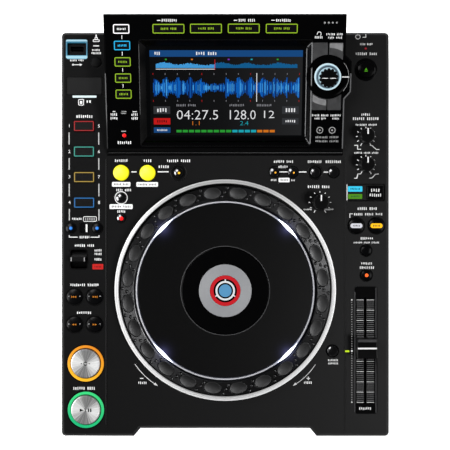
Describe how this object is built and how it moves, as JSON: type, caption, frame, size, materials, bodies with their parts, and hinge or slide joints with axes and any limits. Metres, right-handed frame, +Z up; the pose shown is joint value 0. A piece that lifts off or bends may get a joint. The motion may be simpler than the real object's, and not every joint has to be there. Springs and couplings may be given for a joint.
{
  "type": "dj disc player",
  "caption": "Low slot-loading disc player with a large touch-sensitive jog wheel, tempo fader, pads and a raised tilted display console at the rear.",
  "frame": {"origin": "bottom centre of the bounding box, on the surface the feet stand on", "axes": "+X to the right and +Y to the rear as the user stands in front of it, +Z up"},
  "size_m": [0.32, 0.405, 0.1154],
  "materials": {
    "deck_shell": "fine matte texture",
    "lower_case": "matte black paint",
    "bezel": "satin",
    "rear_plate": "matte black paint",
    "rubber": "matte",
    "fastener": "zinc plated",
    "console_shell": "satin",
    "console_gloss": "high gloss",
    "screen_glass": "glass smooth",
    "lcd": "backlit display",
    "key_black": "satin",
    "key_gloss": "gloss",
    "key_brushed": "spun, dark satin",
    "key_yellow": "gloss, lit from inside",
    "pad_grey": "satin, lit edge",
    "knob_black": "satin",
    "jog_black": "satin",
    "jog_plate": "semi gloss",
    "jog_led": "milky light guide",
    "trim_silver": "satin, clear anodised",
    "jog_display": "gloss",
    "lens_lit": "milky, lit",
    "board": "solder resist",
    "supply": "bare board",
    "drive_steel": "zinc plated",
    "roller_rubber": "matte",
    "socket_shell": "nickel plated",
    "socket_black": "matte",
    "disc_hub": "satin"
  },
  "bodies": {
    "case": {"top_panel": "deck_shell", "bottom_case": "lower_case", "front_bezel": "bezel", "rear_panel": "rear_plate", "rubber_feet": "rubber", "case_screws": "fastener", "console_housing": "console_shell", "console_panel": "console_gloss", "screen_glass": "screen_glass", "lcd_module": "lcd", "jog_base": "knob_black", "jog_trim_ring": "trim_silver", "jog_display": "jog_display", "main_board": "board", "power_supply": "supply", "drive_frame": "drive_steel", "media_sockets": "socket_black", "rear_sockets": "socket_shell", "ac_inlet": "socket_black", "fader_track": "knob_black", "indicator_lenses": "lens_lit"},
    "jog_wheel": {"jog_dial": "jog_black", "jog_top_plate": "jog_plate", "jog_light_ring": "jog_led"},
    "play_button": {"play_button": "key_brushed"},
    "cue_button": {"cue_button": "key_brushed"},
    "hot_cue_pad_1": {"hot_cue_pad_1": "pad_grey"},
    "hot_cue_pad_2": {"hot_cue_pad_2": "pad_grey"},
    "hot_cue_pad_3": {"hot_cue_pad_3": "pad_grey"},
    "hot_cue_pad_4": {"hot_cue_pad_4": "pad_grey"},
    "bank_keys": {"bank_keys": "key_black"},
    "track_keys": {"track_keys": "key_gloss"},
    "search_keys": {"search_keys": "key_gloss"},
    "loop_in_button": {"loop_in_button": "key_yellow"},
    "loop_out_button": {"loop_out_button": "key_yellow"},
    "reloop_button": {"reloop_button": "key_gloss"},
    "beat_loop_button": {"beat_loop_button": "key_gloss"},
    "slip_button": {"slip_button": "key_gloss"},
    "cue_memory_keys": {"cue_memory_keys": "key_gloss"},
    "jog_mode_button": {"jog_mode_button": "key_gloss"},
    "sync_button": {"sync_button": "key_gloss"},
    "master_button": {"master_button": "key_gloss"},
    "tempo_keys": {"tempo_keys": "key_gloss"},
    "tempo_reset_button": {"tempo_reset_button": "key_gloss"},
    "eject_button": {"eject_button": "key_gloss"},
    "usb_stop_button": {"usb_stop_button": "key_gloss"},
    "source_keys": {"source_keys": "key_black"},
    "menu_keys": {"menu_keys": "key_black"},
    "nav_keys": {"nav_keys": "key_black"},
    "power_button": {"power_button": "key_black"},
    "jog_adjust_knob": {"jog_adjust_knob": "knob_black"},
    "touch_knob": {"touch_knob": "knob_black"},
    "release_knob": {"release_knob": "knob_black"},
    "selector_knob": {"selector_knob": "knob_black"},
    "direction_lever": {"direction_lever": "knob_black"},
    "tempo_fader_cap": {"tempo_fader_cap": "knob_black"},
    "card_door": {"card_door": "deck_shell"},
    "disc_spindle": {"disc_spindle": "disc_hub"},
    "feed_roller": {"feed_roller": "roller_rubber"},
    "pickup_sled": {"pickup_sled": "drive_steel"}
  },
  "joints": [
    {"name": "jog_spin", "type": "hinge", "parent": "case", "child": "jog_wheel", "pos_m": [0, -0.0595, 0.085], "axis": [0, 0, 1], "continuous": true},
    {"name": "play_button_press", "type": "slide", "parent": "case", "child": "play_button", "axis": [0, 0, -1], "range_m": [0, 0.0012], "stiffness_N_per_m": 400, "springref_m": -0.001},
    {"name": "cue_button_press", "type": "slide", "parent": "case", "child": "cue_button", "axis": [0, 0, -1], "range_m": [0, 0.0012], "stiffness_N_per_m": 400, "springref_m": -0.001},
    {"name": "hot_cue_pad_1_press", "type": "slide", "parent": "case", "child": "hot_cue_pad_1", "axis": [0, 0, -1], "range_m": [0, 0.0008], "stiffness_N_per_m": 300, "springref_m": -0.0006},
    {"name": "hot_cue_pad_2_press", "type": "slide", "parent": "case", "child": "hot_cue_pad_2", "axis": [0, 0, -1], "range_m": [0, 0.0008], "stiffness_N_per_m": 300, "springref_m": -0.0006},
    {"name": "hot_cue_pad_3_press", "type": "slide", "parent": "case", "child": "hot_cue_pad_3", "axis": [0, 0, -1], "range_m": [0, 0.0008], "stiffness_N_per_m": 300, "springref_m": -0.0006},
    {"name": "hot_cue_pad_4_press", "type": "slide", "parent": "case", "child": "hot_cue_pad_4", "axis": [0, 0, -1], "range_m": [0, 0.0008], "stiffness_N_per_m": 300, "springref_m": -0.0006},
    {"name": "bank_keys_press", "type": "slide", "parent": "case", "child": "bank_keys", "axis": [0, 0, -1], "range_m": [0, 0.001], "stiffness_N_per_m": 300, "springref_m": -0.0006},
    {"name": "track_keys_press", "type": "slide", "parent": "case", "child": "track_keys", "axis": [0, 0, -1], "range_m": [0, 0.001], "stiffness_N_per_m": 300, "springref_m": -0.0006},
    {"name": "search_keys_press", "type": "slide", "parent": "case", "child": "search_keys", "axis": [0, 0, -1], "range_m": [0, 0.001], "stiffness_N_per_m": 300, "springref_m": -0.0006},
    {"name": "loop_in_button_press", "type": "slide", "parent": "case", "child": "loop_in_button", "axis": [0, 0, -1], "range_m": [0, 0.001], "stiffness_N_per_m": 300, "springref_m": -0.0006},
    {"name": "loop_out_button_press", "type": "slide", "parent": "case", "child": "loop_out_button", "axis": [0, 0, -1], "range_m": [0, 0.001], "stiffness_N_per_m": 300, "springref_m": -0.0006},
    {"name": "reloop_button_press", "type": "slide", "parent": "case", "child": "reloop_button", "axis": [0, 0, -1], "range_m": [0, 0.001], "stiffness_N_per_m": 300, "springref_m": -0.0006},
    {"name": "beat_loop_button_press", "type": "slide", "parent": "case", "child": "beat_loop_button", "axis": [0, 0, -1], "range_m": [0, 0.001], "stiffness_N_per_m": 300, "springref_m": -0.0006},
    {"name": "slip_button_press", "type": "slide", "parent": "case", "child": "slip_button", "axis": [0, 0, -1], "range_m": [0, 0.001], "stiffness_N_per_m": 300, "springref_m": -0.0006},
    {"name": "cue_memory_keys_press", "type": "slide", "parent": "case", "child": "cue_memory_keys", "axis": [0, 0, -1], "range_m": [0, 0.001], "stiffness_N_per_m": 300, "springref_m": -0.0006},
    {"name": "jog_mode_button_press", "type": "slide", "parent": "case", "child": "jog_mode_button", "axis": [0, 0, -1], "range_m": [0, 0.001], "stiffness_N_per_m": 300, "springref_m": -0.0006},
    {"name": "sync_button_press", "type": "slide", "parent": "case", "child": "sync_button", "axis": [0, 0, -1], "range_m": [0, 0.001], "stiffness_N_per_m": 300, "springref_m": -0.0006},
    {"name": "master_button_press", "type": "slide", "parent": "case", "child": "master_button", "axis": [0, 0, -1], "range_m": [0, 0.001], "stiffness_N_per_m": 300, "springref_m": -0.0006},
    {"name": "tempo_keys_press", "type": "slide", "parent": "case", "child": "tempo_keys", "axis": [0, 0, -1], "range_m": [0, 0.001], "stiffness_N_per_m": 300, "springref_m": -0.0006},
    {"name": "tempo_reset_button_press", "type": "slide", "parent": "case", "child": "tempo_reset_button", "axis": [0, 0, -1], "range_m": [0, 0.001], "stiffness_N_per_m": 300, "springref_m": -0.0006},
    {"name": "eject_button_press", "type": "slide", "parent": "case", "child": "eject_button", "axis": [0, 0, -1], "range_m": [0, 0.001], "stiffness_N_per_m": 300, "springref_m": -0.0006},
    {"name": "usb_stop_button_press", "type": "slide", "parent": "case", "child": "usb_stop_button", "axis": [0, 0, -1], "range_m": [0, 0.001], "stiffness_N_per_m": 300, "springref_m": -0.0006},
    {"name": "source_keys_press", "type": "slide", "parent": "case", "child": "source_keys", "axis": [0, 0.2547, -0.967], "range_m": [0, 0.0007], "stiffness_N_per_m": 300, "springref_m": -0.0006},
    {"name": "menu_keys_press", "type": "slide", "parent": "case", "child": "menu_keys", "axis": [0, 0.2547, -0.967], "range_m": [0, 0.0007], "stiffness_N_per_m": 300, "springref_m": -0.0006},
    {"name": "nav_keys_press", "type": "slide", "parent": "case", "child": "nav_keys", "axis": [0, 0.2547, -0.967], "range_m": [0, 0.0007], "stiffness_N_per_m": 300, "springref_m": -0.0006},
    {"name": "power_button_press", "type": "slide", "parent": "case", "child": "power_button", "axis": [0, -1, 0], "range_m": [0, 0.0025], "stiffness_N_per_m": 300, "springref_m": -0.0006},
    {"name": "jog_adjust_knob_turn", "type": "hinge", "parent": "case", "child": "jog_adjust_knob", "pos_m": [0.0924, 0.026, 0.086], "axis": [0, 0, -1], "range_deg": [-140, 140]},
    {"name": "touch_knob_turn", "type": "hinge", "parent": "case", "child": "touch_knob", "pos_m": [0.1373, 0.0903, 0.086], "axis": [0, 0, -1], "range_deg": [-140, 140]},
    {"name": "release_knob_turn", "type": "hinge", "parent": "case", "child": "release_knob", "pos_m": [0.1373, 0.0627, 0.086], "axis": [0, 0, -1], "range_deg": [-140, 140]},
    {"name": "selector_turn", "type": "hinge", "parent": "case", "child": "selector_knob", "pos_m": [0.0979, 0.14416, 0.10427], "axis": [0, -0.2547, 0.967], "continuous": true},
    {"name": "direction_rock", "type": "hinge", "parent": "case", "child": "direction_lever", "pos_m": [-0.1431, -0.0294, 0.066], "axis": [1, 0, 0], "range_deg": [-12, 12]},
    {"name": "tempo_slide", "type": "slide", "parent": "case", "child": "tempo_fader_cap", "axis": [0, 1, 0], "range_m": [-0.0542, 0.0458]},
    {"name": "card_door_hinge", "type": "hinge", "parent": "case", "child": "card_door", "pos_m": [-0.1375, 0.1479, 0.0785], "axis": [-1, 0, 0], "range_deg": [0, 85]},
    {"name": "spindle_spin", "type": "hinge", "parent": "case", "child": "disc_spindle", "pos_m": [0, -0.115, 0.047], "axis": [0, 0, 1], "continuous": true},
    {"name": "roller_spin", "type": "hinge", "parent": "case", "child": "feed_roller", "pos_m": [0, -0.179, 0.0484], "axis": [1, 0, 0], "continuous": true},
    {"name": "sled_slide", "type": "slide", "parent": "case", "child": "pickup_sled", "axis": [0, 1, 0], "range_m": [0, 0.034]}
  ]
}
